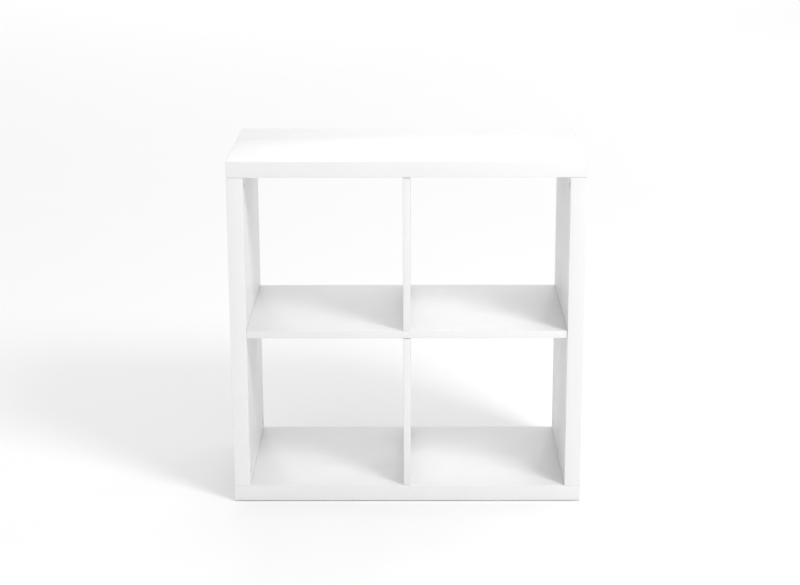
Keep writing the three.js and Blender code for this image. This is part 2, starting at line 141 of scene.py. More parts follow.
# Dowels, glides and honeycomb.
DOWEL_RADIUS = 4 * MM
DOWEL_CHAMFER = 0.9 * MM
FLUTES = 18
FLUTE_DEPTH = 0.28 * MM
FLUTE_POINTS = 6  # round the section, for each flute
GLIDE_SIDES = 48
GLIDE_TOP = 1.7 * MM
GLIDE_FLAT = 1.4 * MM  # from a glide's rim to its flat underside
GLIDE_ROUNDING = 0.9 * MM
GLIDE_RIM_DROP = 0.5 * MM
GLIDE_RIM_EDGE = 0.3 * MM
NAIL_SEAT = 2.4 * MM
NAIL_RADIUS = 1.0 * MM
NAIL_POINT = 2 * MM
COMB_CELL = 24 * MM
COMB_PAPER = 0.35 * MM


# ---------------------------------------------------------------- camera, light and floor

# The camera stands a little right of the unit's middle and looks down on it. Angles are in radians,
# and the lens and the sensor in millimetres.
EYE = Vector((0.0165, -4.0246, 1.5388))
LOOK_DOWN = 0.2696
TURN_LEFT = 0.0081
LEAN = -0.00366
LENS = 83.10
SENSOR = 36.0
NEAREST = 0.05
FARTHEST = 200


def set_camera():
    data = bpy.data.cameras.new("camera")
    data.sensor_width = SENSOR
    data.lens = LENS
    data.clip_start = NEAREST
    data.clip_end = FARTHEST
    camera = bpy.data.objects.new("camera", data)
    camera.location = EYE
    upright = Matrix.Rotation(math.pi / 2 - LOOK_DOWN, 4, "X")
    turned_left = Matrix.Rotation(TURN_LEFT, 4, "Z")
    leaning = Matrix.Rotation(LEAN, 4, "Z")
    camera.rotation_euler = (turned_left @ upright @ leaning).to_euler()
    bpy.context.scene.collection.objects.link(camera)
    bpy.context.scene.camera = camera


# Softboxes: place, size and power. Each is turned to the unit's middle.
SOFTBOXES = {
    "key": ((1.89, -2.10, 2.93), 1.2, 57),
    "backdrop": ((0.0, 13.0, 9.0), 10.0, 420),
    "rim": ((5.0, 5.0, 3.0), 3.0, 40),
}
SKY = (1.0, 1.0, 1.0)
SKY_STRENGTH = 0.80


def set_softbox(name, place, size, power):
    data = bpy.data.lights.new(name, "AREA")
    data.shape = "DISK"
    data.size = size
    data.energy = power
    lamp = bpy.data.objects.new(name, data)
    lamp.location = place
    lamp.rotation_euler = (Vector(place) - CASE_MIDDLE).to_track_quat("Z", "Y").to_euler()
    bpy.context.scene.collection.objects.link(lamp)


def set_light():
    for name, settings in SOFTBOXES.items():
        set_softbox(name, *settings)
    world = bpy.data.worlds.new("studio")
    world.use_nodes = True
    sky = world.node_tree.nodes["Background"]
    sky.inputs["Color"].default_value = (*SKY, 1)
    sky.inputs["Strength"].default_value = SKY_STRENGTH
    bpy.context.scene.world = world
    bpy.context.scene.view_settings.view_transform = "Standard"
    bpy.context.scene.view_settings.look = "None"


FLOOR_REACH = 40.0


def lay_floor():
    shape = bmesh.new()
    bmesh.ops.create_grid(shape, x_segments=1, y_segments=1, size=FLOOR_REACH)
    floor = add_solid("studio_floor", shape)
    floor.data.materials.append(floor_paint())


# ---------------------------------------------------------------- finishes

WHITE = (0.80, 0.80, 0.798)

# The Mix node has sockets for numbers, vectors and colours. These are the ones for colours.
MIX_SHARE = 0
MIX_FIRST = 6
MIX_SECOND = 7
MIX_RESULT = 2


def add_node(tree, kind, inputs, settings):
    """Adds a node to a tree. An input is a value or another node's output, which is linked to it."""
    made = tree.nodes.new(kind)
    for key, value in settings.items():
        setattr(made, key, value)
    for key, value in (inputs or {}).items():
        if isinstance(value, bpy.types.NodeSocket):
            tree.links.new(value, made.inputs[key])
        else:
            made.inputs[key].default_value = value
    return made


class Finish:
    """A procedural material: one Principled shader, and the nodes that vary it over the piece."""

    def __init__(self, name, colour, roughness, metallic=0.0):
        self.material = bpy.data.materials.new(name)
        self.material.use_nodes = True
        self.tree = self.material.node_tree
        self.shader = self.tree.nodes["Principled BSDF"]
        self.shader.inputs["Base Color"].default_value = (*colour, 1)
        self.shader.inputs["Roughness"].default_value = roughness
        self.shader.inputs["Metallic"].default_value = metallic
        self.place = self.tree.nodes.new("ShaderNodeTexCoord").outputs["Object"]

    def node(self, kind, inputs=None, **settings):
        return add_node(self.tree, kind, inputs, settings)

    def sized(self, size):
        """Object coordinates scaled so that a pattern has features of the given size in metres. Three
        sizes give the size along each axis, so that a pattern runs with the piece."""
        steps = [size] * 3 if isinstance(size, float) else size
        scale = [1 / step for step in steps]
        return self.node("ShaderNodeMapping", {"Vector": self.place, "Scale": scale}).outputs["Vector"]

    def noise(self, size, detail=2.0, rough=0.5):
        """Cloudy noise."""
        inputs = {"Vector": self.sized(size), "Scale": 1.0, "Detail": detail, "Roughness": rough}
        return self.node("ShaderNodeTexNoise", inputs).outputs["Fac"]

    def cells(self, size, output="Distance"):
        """Cells like flakes or pits, from their middles outwards."""
        inputs = {"Vector": self.sized(size), "Scale": 1.0}
        return self.node("ShaderNodeTexVoronoi", inputs).outputs[output]

    def band(self, value, low, high, to_low=0.0, to_high=1.0):
        """Maps low..high of a value to the new limits, clamped."""
        inputs = {"Value": value, "From Min": low, "From Max": high, "To Min": to_low, "To Max": to_high}
        return self.node("ShaderNodeMapRange", inputs).outputs["Result"]

    def times(self, first, second):
        sockets = self.node("ShaderNodeMath", {0: first, 1: second}, operation="MULTIPLY")
        return sockets.outputs["Value"]

    def plus(self, first, second):
        sockets = self.node("ShaderNodeMath", {0: first, 1: second}, operation="ADD")
        return sockets.outputs["Value"]

    def attribute(self, name):
        return self.node("ShaderNodeAttribute", attribute_name=name).outputs["Fac"]

    def mixed(self, share, first, second):
        """Two colours mixed by a share. Either may be a colour or another node's output."""
        inputs = {MIX_SHARE: share}
        for key, value in ((MIX_FIRST, first), (MIX_SECOND, second)):
            inputs[key] = value if isinstance(value, bpy.types.NodeSocket) else (*value, 1)
        return self.node("ShaderNodeMix", inputs, data_type="RGBA").outputs[MIX_RESULT]

    def colour(self, socket):
        self.tree.links.new(socket, self.shader.inputs["Base Color"])

    def roughness(self, socket):
        self.tree.links.new(socket, self.shader.inputs["Roughness"])

    def relief(self, height, depth, before=None):
        """Bump of the given depth in metres, on top of an earlier one."""
        inputs = {"Height": height, "Distance": depth, "Strength": 1.0}
        if before is not None:
            inputs["Normal"] = before
        return self.node("ShaderNodeBump", inputs).outputs["Normal"]

    def surface(self, normal):
        self.tree.links.new(normal, self.shader.inputs["Normal"])


def floor_paint():
    paint = Finish("floor_paint", (0.93, 0.93, 0.93), 0.9)
    cloud = paint.noise(350 * MM, detail=3)
    paint.colour(paint.mixed(cloud, (0.925, 0.925, 0.925), (0.935, 0.935, 0.935)))
    paint.shader.inputs["Specular IOR Level"].default_value = 0.1
    return paint.material


def worn_white(finish, white, cloud_colour, scuff_colour):
    """White with faint clouding, and small scuffs along the arrises where the finish has been knocked."""
    cloud = finish.band(finish.noise(110 * MM, detail=3), 0.35, 0.65)
    base = finish.mixed(cloud, white, cloud_colour)
    knocks = finish.band(finish.noise(6 * MM, detail=4, rough=0.6), 0.60, 0.68)
    scuffs = finish.times(knocks, finish.attribute("arris"))
    finish.colour(finish.mixed(finish.times(scuffs, 0.55), base, scuff_colour))
    return scuffs


def white_lacquer():
    """Roller-coated lacquer on fibreboard: fine orange peel, satin, slightly uneven in gloss."""
    lacquer = Finish("white_lacquer", WHITE, 0.42)
    scuffs = worn_white(lacquer, (0.803, 0.803, 0.801), (0.790, 0.790, 0.787), (0.70, 0.68, 0.64))
    haze = lacquer.band(lacquer.noise(45 * MM, detail=4), 0.3, 0.7, 0.36, 0.47)
    lacquer.roughness(lacquer.plus(haze, lacquer.times(scuffs, 0.25)))
    peel = lacquer.noise(2.2 * MM, detail=1.5)
    grit = lacquer.noise(0.45 * MM, detail=2)
    lacquer.surface(lacquer.relief(grit, 0.003 * MM, lacquer.relief(peel, 0.02 * MM)))
    lacquer.shader.inputs["Coat Weight"].default_value = 0.12
    lacquer.shader.inputs["Coat Roughness"].default_value = 0.3
    return lacquer.material


def white_board():
    """Foil-wrapped board: a finer, harder grain than lacquer, with a trace of the chips below it."""
    foil = Finish("white_board", WHITE, 0.44)
    scuffs = worn_white(foil, (0.801, 0.801, 0.799), (0.788, 0.788, 0.785), (0.66, 0.63, 0.58))
    haze = foil.band(foil.noise(30 * MM, detail=4), 0.3, 0.7, 0.39, 0.49)
    foil.roughness(foil.plus(haze, foil.times(scuffs, 0.2)))
    chips = foil.cells(3.5 * MM)
    grain = foil.noise(0.35 * MM, detail=2)
    foil.surface(foil.relief(grain, 0.004 * MM, foil.relief(chips, 0.008 * MM)))
    return foil.material


def white_edge_band(name, along):
    """Edge band: extruded plastic strip with fine draw lines along its length, scraped at the arris."""
    band = Finish(name, WHITE, 0.38)
    scuffs = worn_white(band, (0.798, 0.798, 0.797), (0.787, 0.787, 0.785), (0.68, 0.67, 0.65))
    lines = band.noise(along, detail=2)
    haze = band.band(lines, 0.3, 0.7, 0.32, 0.44)
    band.roughness(band.plus(haze, band.times(scuffs, 0.2)))
    fine = band.noise(0.5 * MM, detail=2)
    band.surface(band.relief(fine, 0.003 * MM, band.relief(lines, 0.008 * MM)))
    return band.material


def chipboard():
    """Raw chipboard: pressed flakes of mixed browns with resin-dark gaps."""
    board = Finish("chipboard", (0.52, 0.36, 0.20), 0.85)
    chip = (4 * MM, 2.2 * MM, 1.6 * MM)
    flakes = board.cells(chip, output="Color")
    tone = board.node("ShaderNodeSeparateColor", {"Color": flakes}).outputs["Red"]
    wood = board.mixed(tone, (0.62, 0.46, 0.28), (0.40, 0.26, 0.14))
    gaps = board.band(board.cells(chip), 0.45, 0.75)
    board.colour(board.mixed(board.times(gaps, 0.6), wood, (0.22, 0.13, 0.07)))
    board.roughness(board.band(tone, 0, 1, 0.75, 0.95))
    board.surface(board.relief(board.plus(tone, board.noise(0.6 * MM, detail=3)), 0.12 * MM))
    return board.material


def kraft_paper():
    """Honeycomb paper: brown fibres lying mostly round the cells, with paler flecks."""
    paper = Finish("kraft_paper", (0.40, 0.27, 0.15), 0.92)
    fibres = paper.noise((1.2 * MM, 1.2 * MM, 6 * MM), detail=4, rough=0.65)
    base = paper.mixed(fibres, (0.46, 0.32, 0.18), (0.33, 0.21, 0.11))
    flecks = paper.band(paper.noise(1.6 * MM, detail=5), 0.62, 0.7)
    paper.colour(paper.mixed(paper.times(flecks, 0.5), base, (0.62, 0.48, 0.32)))
    paper.roughness(paper.band(fibres, 0.3, 0.7, 0.85, 0.97))
    paper.surface(paper.relief(fibres, 0.05 * MM))
    return paper.material


def zinc_alloy():
    """Die-cast zinc: a grey skin with a fine cast grain and tumbled, brighter high spots."""
    zinc = Finish("zinc_alloy", (0.52, 0.53, 0.55), 0.42, metallic=1.0)
    cloud = zinc.noise(3 * MM, detail=4)
    zinc.colour(zinc.mixed(cloud, (0.58, 0.59, 0.61), (0.42, 0.43, 0.45)))
    zinc.roughness(zinc.band(cloud, 0.3, 0.7, 0.33, 0.52))
    pits = zinc.cells(0.5 * MM)
    zinc.surface(zinc.relief(zinc.noise(0.25 * MM, detail=3), 0.01 * MM, zinc.relief(pits, 0.015 * MM)))
    return zinc.material


def plated_steel():
    """Zinc-plated steel: a thin plating that turns from blue-grey to straw in patches."""
    steel = Finish("plated_steel", (0.62, 0.63, 0.62), 0.3, metallic=1.0)
    patches = steel.band(steel.noise(5 * MM, detail=3), 0.35, 0.65)
    steel.colour(steel.mixed(patches, (0.60, 0.63, 0.66), (0.66, 0.62, 0.52)))
    steel.roughness(steel.band(steel.noise(1.5 * MM, detail=4), 0.3, 0.7, 0.22, 0.4))
    turning = steel.noise((3 * MM, 3 * MM, 0.12 * MM), detail=2)
    steel.surface(steel.relief(turning, 0.006 * MM))
    return steel.material


def beech(name, along):
    """Beech: pale pinkish wood with a straight grain and short dark ray flecks along the dowel."""
    wood = Finish(name, (0.62, 0.44, 0.28), 0.62)
    grain = wood.noise([step * 0.9 * MM for step in along], detail=5, rough=0.6)
    base = wood.mixed(wood.band(grain, 0.35, 0.65), (0.70, 0.52, 0.35), (0.56, 0.38, 0.23))
    rays = wood.cells([step * 0.55 * MM for step in along])
    flecks = wood.band(rays, 0.12, 0.05)
    wood.colour(wood.mixed(wood.times(flecks, 0.6), base, (0.36, 0.22, 0.12)))
    wood.roughness(wood.band(grain, 0.3, 0.7, 0.5, 0.7))
    wood.surface(wood.relief(grain, 0.04 * MM))
    return wood.material


def white_plastic():
    """Moulded polyethylene: soft sheen with a fine spark-eroded texture and grey floor marks."""
    plastic = Finish("white_plastic", (0.82, 0.82, 0.80), 0.4)
    marks = plastic.band(plastic.noise(2.5 * MM, detail=5), 0.55, 0.72)
    plastic.colour(plastic.mixed(plastic.times(marks, 0.35), (0.83, 0.83, 0.81), (0.62, 0.61, 0.58)))
    plastic.roughness(plastic.band(plastic.noise(1.2 * MM, detail=3), 0.3, 0.7, 0.34, 0.5))
    plastic.surface(plastic.relief(plastic.cells(0.3 * MM), 0.01 * MM))
    return plastic.material


# ---------------------------------------------------------------- making solids


def mesh_of(shape, name):
    mesh = bpy.data.meshes.new(name)
    shape.to_mesh(mesh)
    shape.free()
    return mesh


def add_object(name, mesh):
    made = bpy.data.objects.new(name, mesh)
    bpy.context.scene.collection.objects.link(made)
    return made


def add_solid(name, shape):
    return add_object(name, mesh_of(shape, name))


def nodes_named(part):
    """The CAD nodes with this part in their names."""
    return [name for name in frame["nodes"] if part in name]


def settle(piece):
    """Applies what the modifiers make and takes them off."""
    shown = piece.evaluated_get(bpy.context.evaluated_depsgraph_get())
    mesh = bpy.data.meshes.new_from_object(shown)
    piece.modifiers.clear()
    old, piece.data = piece.data, mesh
    bpy.data.meshes.remove(old)


def carve(piece, cutters):
    """Cuts the cutters out of a piece, one by one, and removes them."""
    for cutter in cutters:
        modifier = piece.modifiers.new("carve", "BOOLEAN")
        modifier.operation = "DIFFERENCE"
        modifier.solver = "EXACT"
        modifier.object = cutter
    settle(piece)
    weld(piece.data)
    for cutter in cutters:
        bpy.data.objects.remove(cutter)


def weld(mesh):
    """Joins the points that a cut left on top of each other."""
    shape = bmesh.new()
    shape.from_mesh(mesh)
    bmesh.ops.dissolve_degenerate(shape, dist=TOUCHING, edges=shape.edges)
    shape.to_mesh(mesh)
    shape.free()


def block_shape(low, high):
    shape = bmesh.new()
    bmesh.ops.create_cube(shape, size=1)
    low, high = Vector(low), Vector(high)
    for corner in shape.verts:
        corner.co = Vector(low[i] + (corner.co[i] + 0.5) * (high[i] - low[i]) for i in range(3))
    return shape


def round_edges(shape, chosen, radius, steps):
    edges = [edge for edge in shape.edges if chosen(edge)]
    bmesh.ops.bevel(
        shape, geom=edges, offset=radius, offset_type="OFFSET", segments=steps,
        profile=ROUND_PROFILE, affect="EDGES", clamp_overlap=True,
    )


def is_square(edge):
    """True for an edge where two faces still meet at a right angle."""
    return len(edge.link_faces) == 2 and edge.calc_face_angle() > math.radians(SQUARE_ANGLE)


def runs_along(edge, axis):
    direction = (edge.verts[1].co - edge.verts[0].co).normalized()
    return abs(direction[axis]) > ALONG_AXIS


def block(name, low, high, radius=0.0, chosen=is_square, arris=0.0):
    """A box with the chosen edges rounded, and a fine arris taken off the rest."""
    shape = block_shape(low, high)
    if radius:
        round_edges(shape, chosen, radius, ROUND_STEPS)
    if arris:
        round_edges(shape, is_square, arris, FINE_STEPS)
    bmesh.ops.recalc_face_normals(shape, faces=shape.faces)
    return add_solid(name, shape)


def turned_shape(profile, sides):
    """A closed solid of revolution about Z from (radius, height) pairs, lowest first, that start and
    end on the axis."""
    shape = bmesh.new()
    rings = []
    for radius, height in profile:
        count = sides if radius > 0 else 1
        angles = [math.tau * k / sides for k in range(count)]
        rings.append([shape.verts.new((radius * math.cos(a), radius * math.sin(a), height)) for a in angles])
    for lower, upper in zip(rings, rings[1:]):
        for k in range(sides):
            corners = [lower[k % len(lower)], lower[(k + 1) % len(lower)]]
            corners += [upper[(k + 1) % len(upper)], upper[k % len(upper)]]
            shape.faces.new(list(dict.fromkeys(corners)))
    return shape


def prism_shape(lower, low, upper, high):
    """A closed solid from one outline at a low height to another with as many corners at a high one."""
    shape = bmesh.new()
    lower = [shape.verts.new((x, y, low)) for x, y in lower]
    upper = [shape.verts.new((x, y, high)) for x, y in upper]
    shape.faces.new(list(reversed(lower)))
    shape.faces.new(upper)
    for k in range(len(lower)):
        after = (k + 1) % len(lower)
        shape.faces.new([lower[k], lower[after], upper[after], upper[k]])
    return shape


def arc(centre, radius, start, end, steps=ROUND_STEPS):
    """Points on a round corner of a profile, with angles in degrees."""
    angles = [math.radians(start + (end - start) * k / steps) for k in range(steps + 1)]
    return [(centre[0] + radius * math.cos(a), centre[1] + radius * math.sin(a)) for a in angles]


def frame_towards(place, out, sideways=None):
    """A matrix that puts +Z along out and +X along sideways, at a place."""
    out = Vector(out).normalized()
    if sideways is None:
        sideways = out.orthogonal()
    sideways = Vector(sideways).normalized()
    turn = Matrix((sideways, out.cross(sideways), out)).transposed().to_4x4()
    return Matrix.Translation(Vector(place)) @ turn


def drill(place, out, radius, depth):
    """A cutter for a round hole with a rounded lip, at a place on a face with the given outward side."""
    lip = arc((radius + HOLE_LIP, -HOLE_LIP), HOLE_LIP, 180, 90, FINE_STEPS)
    profile = [(0, -depth), (radius, -depth), *lip, (radius + HOLE_LIP, OVERCUT), (0, OVERCUT)]
    shape = turned_shape(profile, HOLE_SIDES)
    shape.transform(frame_towards(place, out))
    return add_solid("drill", shape)


def mark_arrises(mesh):
    """Marks the faces that lie on rounded edges, so that the finish can wear there."""
    marks = mesh.attributes.new("arris", "FLOAT", "FACE")
    slanted = [max(abs(part) for part in face.normal) < ALONG_AXIS for face in mesh.polygons]
    marks.data.foreach_set("value", [float(value) for value in slanted])


def smooth(mesh):
    mesh.polygons.foreach_set("use_smooth", [True] * len(mesh.polygons))
    mesh.set_sharp_from_angle(angle=math.radians(SHARP_ANGLE))


def fit(piece, node, *materials):
    """Hands a finished piece over: it stands for a CAD node, rides with it and takes its finish."""
    mesh = piece.data
    mesh.materials.clear()
    for material in materials:
        mesh.materials.append(material)
    smooth(mesh)
    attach(piece, BODY_OF[node])
    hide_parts(node)


# ---------------------------------------------------------------- repeated shapes by rule


class Rule:
    """A Geometry Nodes tree with named inputs that ends in Realize Instances and Set Material."""

    def __init__(self, name, inputs):
        self.tree = bpy.data.node_groups.new(name, "GeometryNodeTree")
        self.tree.interface.new_socket("Geometry", in_out="OUTPUT", socket_type="NodeSocketGeometry")
        self.keys = {}
        for label, kind in inputs.items():
            socket = self.tree.interface.new_socket(label, in_out="INPUT", socket_type="NodeSocket" + kind)
            self.keys[label] = socket.identifier
        self.given = self.tree.nodes.new("NodeGroupInput").outputs

    def node(self, kind, inputs=None, **settings):
        return add_node(self.tree, kind, inputs, settings).outputs

    def math(self, operation, first, second=0.0):
        return self.node("ShaderNodeMath", {0: first, 1: second}, operation=operation)["Value"]

    def close(self, geometry):
        solid = self.node("GeometryNodeRealizeInstances", {"Geometry": geometry})["Geometry"]
        inputs = {"Geometry": solid, "Material": self.given["Material"]}
        finished = self.node("GeometryNodeSetMaterial", inputs)["Geometry"]
        output = self.tree.nodes.new("NodeGroupOutput")
        self.tree.links.new(finished, output.inputs["Geometry"])

    def make(self, name, **values):
        """A plain mesh object made by this rule with the given inputs."""
        made = add_object(name, bpy.data.meshes.new(name))
        modifier = made.modifiers.new("rule", "NODES")
        modifier.node_group = self.tree
        for label, value in values.items():
            modifier[self.keys[label.replace("_", " ")]] = value
        settle(made)
        return made


def thread_rule():
    """A thread: a small four-sided section swept along a helix."""
    inputs = {
        "Radius": "Float", "Length": "Float", "Turns": "Float", "Ridge": "Float", "Material": "Material",
    }
    rule = Rule("thread", inputs)
    given = rule.given
    helix = rule.node(
        "GeometryNodeCurveSpiral",
        {
            "Resolution": THREAD_STEPS,
            "Rotations": given["Turns"],
            "Start Radius": given["Radius"],
            "End Radius": given["Radius"],
            "Height": given["Length"],
        },
    )["Curve"]
    corners = {"Resolution": THREAD_CORNERS, "Radius": given["Ridge"]}
    section = rule.node("GeometryNodeCurvePrimitiveCircle", corners)["Curve"]
    inputs = {"Curve": helix, "Profile Curve": section, "Fill Caps": True}
    rule.close(rule.node("GeometryNodeCurveToMesh", inputs)["Mesh"])
    return rule


def flute_rule():
    """A fluted dowel: a wavy section swept along a short straight path that narrows at both ends."""
    inputs = {
        "Radius": "Float", "Length": "Float", "Chamfer": "Float", "Flutes": "Float", "Depth": "Float",
        "Points": "Int", "Material": "Material",
    }
    rule = Rule("fluted_dowel", inputs)
    given = rule.given
    circle = rule.node(
        "GeometryNodeCurvePrimitiveCircle", {"Resolution": given["Points"], "Radius": given["Radius"]}
    )["Curve"]
    index = rule.node("GeometryNodeInputIndex")["Index"]
    angle = rule.math("DIVIDE", rule.math("MULTIPLY", index, math.tau), given["Points"])
    wave = rule.math("COSINE", rule.math("MULTIPLY", angle, given["Flutes"]))
    share = rule.math("DIVIDE", given["Depth"], given["Radius"])
    sunk = rule.math("MULTIPLY", rule.math("MULTIPLY", rule.math("ADD", wave, 1.0), 0.5), share)
    scale = rule.math("SUBTRACT", 1.0, sunk)
    place = rule.node("GeometryNodeInputPosition")["Position"]
    pulled = rule.node("ShaderNodeVectorMath", {0: place, "Scale": scale}, operation="SCALE")["Vector"]
    section = rule.node("GeometryNodeSetPosition", {"Geometry": circle, "Position": pulled})["Geometry"]
    line = rule.node("GeometryNodeCurvePrimitiveLine", {"Start": (0, 0, -0.5), "End": (0, 0, 0.5)})["Curve"]
    path = rule.node("GeometryNodeResampleCurve", {"Curve": line, "Count": 4})["Curve"]
    # Of the path's four points the outer two are the ends, and the inner two start the chamfers.
    order = rule.node("GeometryNodeInputIndex")["Index"]
    upper = rule.math("GREATER_THAN", order, 1.5)
    side = rule.math("SUBTRACT", rule.math("MULTIPLY", upper, 2.0), 1.0)
    outer = rule.math("GREATER_THAN", rule.math("ABSOLUTE", rule.math("SUBTRACT", order, 1.5)), 1.0)
    inner = rule.math("SUBTRACT", 1.0, outer)
    half = rule.math("MULTIPLY", given["Length"], 0.5)
    reach = rule.math("SUBTRACT", half, rule.math("MULTIPLY", inner, given["Chamfer"]))
    height = rule.node("ShaderNodeCombineXYZ", {"Z": rule.math("MULTIPLY", side, reach)})["Vector"]
    path = rule.node("GeometryNodeSetPosition", {"Geometry": path, "Position": height})["Geometry"]
    narrow = rule.math("MULTIPLY", outer, rule.math("DIVIDE", given["Chamfer"], given["Radius"]))
    radius = rule.math("SUBTRACT", 1.0, narrow)
    path = rule.node("GeometryNodeSetCurveRadius", {"Curve": path, "Radius": radius})["Curve"]
    inputs = {"Curve": path, "Profile Curve": section, "Fill Caps": True}
    rule.close(rule.node("GeometryNodeCurveToMesh", inputs)["Mesh"])
    return rule


def comb_rule():
    """Paper honeycomb: six-sided cells of folded strip on two interleaved grids."""
    inputs = {
        "Pitch": "Float", "Row Pitch": "Float", "Columns": "Int", "Rows": "Int", "Corner": "Float",
        "Paper": "Float", "Depth": "Float", "Material": "Material",
    }
    rule = Rule("honeycomb", inputs)
    given = rule.given
    outline = rule.node(
        "GeometryNodeCurvePrimitiveCircle", {"Resolution": 6, "Radius": given["Corner"]}
    )["Curve"]
    turn = {"Geometry": outline, "Rotation": (0, 0, math.radians(30))}
    outline = rule.node("GeometryNodeTransform", turn)["Geometry"]
    strip = rule.node(
        "GeometryNodeCurvePrimitiveQuadrilateral", {"Width": given["Paper"], "Height": given["Depth"]}
    )["Curve"]
    cell = rule.node("GeometryNodeCurveToMesh", {"Curve": outline, "Profile Curve": strip})["Mesh"]
    grids = []
    for shift in (0, 1):
        columns = rule.math("SUBTRACT", given["Columns"], float(shift))
        rows = rule.math("FLOOR", rule.math("DIVIDE", rule.math("ADD", given["Rows"], 1.0 - shift), 2.0))
        size_x = rule.math("MULTIPLY", rule.math("SUBTRACT", columns, 1.0), given["Pitch"])
        steps = rule.math("MULTIPLY", rule.math("SUBTRACT", rows, 1.0), 2.0)
        size_y = rule.math("MULTIPLY", steps, given["Row Pitch"])
        sizes = {"Size X": size_x, "Size Y": size_y, "Vertices X": columns, "Vertices Y": rows}
        grids.append(rule.node("GeometryNodeMeshGrid", sizes)["Mesh"])
    centres = rule.tree.nodes.new("GeometryNodeJoinGeometry")
    for grid in grids:
        rule.tree.links.new(grid, centres.inputs[0])
    placed = {"Points": centres.outputs[0], "Instance": cell}
    rule.close(rule.node("GeometryNodeInstanceOnPoints", placed)["Instances"])
    return rule


# ---------------------------------------------------------------- panels and boards


def panel_axis(panel):
    """The axis that a panel's thickness runs along."""
    return X if panel.endswith("side") else Z


def inner_side(panel):
    """-1 or 1: where the cells lie from a panel, along its own axis."""
    axis = panel_axis(panel)
    low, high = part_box(f"{panel}_frame")
    return 1.0 if (low[axis] + high[axis]) / 2 < CASE_MIDDLE[axis] else -1.0


def band_thickness():
    low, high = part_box("left_side_front_edge_band")
    return high.y - low.y


def case_edge(axis, sign):
    """The outer face of the case on one side, over the edge bands."""
    low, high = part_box("top_panel_edge_band")
    return high[axis] if sign > 0 else low[axis]


def joints_on(panel):
    side = panel.removesuffix("_side")
    return [joint for joint in frame["joints"] if joint["name"].startswith(f"cam_{side}_")]


def make_skin(panel, layer, material):
    """A fibreboard skin that runs up to a hairline from its edge bands."""
    node = f"{panel}_{layer}_skin"
    low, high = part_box(node)
    banded = (Y,) if panel.endswith("side") else (X, Y)
    for axis in banded:
        reach = case_edge(axis, 1) - band_thickness() - HAIRLINE
        low[axis], high[axis] = -reach, reach
    skin = block(f"{node}_lacquered", low, high, arris=SKIN_ARRIS)
    if panel.endswith("side") and layer == "inner":
        out = Vector((inner_side(panel), 0, 0))
        face = high.x if out.x > 0 else low.x
        depth = high.x - low.x + OVERCUT
        holes = []
        for joint in joints_on(panel):
            _, y, z = joint["pos_m"]
            holes.append(drill((face, y, z), out, CAM_HOLE_RADIUS, depth))
        carve(skin, holes)
    mark_arrises(skin.data)
    fit(skin, node, material)


def make_band_loop(panel, material):
    """Edge band round all four edges of the top or bottom panel."""
    node = f"{panel}_edge_band"
    low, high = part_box(node)
    loop = block(f"{node}_scraped", low, high, BAND_ROUNDING)
    inset = Vector((band_thickness(), band_thickness(), -OVERCUT))
    window = block("window", low + inset, high - inset)
    carve(loop, [window])
    mark_arrises(loop.data)
    fit(loop, node, material)


def make_band_strip(side, edge, material):
    """Edge band down the front or back of a side, rounded on its two outer arrises."""
    node = f"{side}_{edge}_edge_band"
    low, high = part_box(node)
    outside = low.y if edge == "front" else high.y

    def outer_arris(strip_edge):
        on_face = all(abs(corner.co.y - outside) < TOUCHING for corner in strip_edge.verts)
        return on_face and runs_along(strip_edge, Z)

    strip = block(f"{node}_scraped", low, high, BAND_ROUNDING, outer_arris)
    mark_arrises(strip.data)
    fit(strip, node, material)


def dowel_hole(dowel, low, high):
    """A cutter for a dowel's hole in the board from low to high, or None where the dowel isn't in it."""
    start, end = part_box(dowel)
    centre = (start + end) / 2
    along = X if dowel.startswith("shelf") else Z
    inside = all(low[axis] < centre[axis] < high[axis] for axis in (X, Y, Z) if axis != along)
    if not inside or end[along] < low[along] or start[along] > high[along]:
        return None
    upper = centre[along] > (low[along] + high[along]) / 2
    face = high[along] if upper else low[along]
    reach = face - start[along] if upper else end[along] - face
    through = start[along] < low[along] and end[along] > high[along]
    if through:
        reach = high[along] - low[along]
    place, out = centre.copy(), Vector((0, 0, 0))
    place[along] = face
    out[along] = 1.0 if upper else -1.0
    return drill(place, out, DOWEL_RADIUS + HOLE_LIP, reach + OVERCUT)


def make_board(node, long_axis, material):
    """Shelf or divider: its front and back edges are rounded, and it has a hole for each dowel."""
    low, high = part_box(node)

    def long_edge(edge):
        return runs_along(edge, long_axis)

    board = block(f"{node}_wrapped", low, high, BOARD_ROUNDING, long_edge, arris=BOARD_ARRIS)
    dowels = [name for name in nodes_named("_dowel_") if not name.startswith("corner")]
    holes = [dowel_hole(dowel, low, high) for dowel in dowels]
    carve(board, [hole for hole in holes if hole])
    mark_arrises(board.data)
    fit(board, node, material)


def make_honeycomb(panel, rule, material):
    node = f"{panel}_honeycomb"
    low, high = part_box(node)
    axis = panel_axis(panel)
    size = high - low
    length = size.z if axis == X else size.x
    pitch = COMB_CELL + 2 * COMB_PAPER
    row_pitch = pitch * math.sqrt(3) / 2
    corner = (COMB_CELL + COMB_PAPER) / math.sqrt(3)
    columns = int(length / pitch)
    rows = int((size.y - 2 * corner) / row_pitch) // 2 * 2 + 1
    comb = rule.make(
        f"{node}_expanded", Pitch=pitch, Row_Pitch=row_pitch, Columns=columns, Rows=rows,
        Corner=corner, Paper=COMB_PAPER, Depth=size[axis], Material=material,
    )
    turn = Matrix.Rotation(math.pi / 2, 4, "Y") if axis == X else Matrix.Identity(4)
    comb.data.transform(Matrix.Translation((low + high) / 2) @ turn)
    fit(comb, node, material)


# ---------------------------------------------------------------- fittings


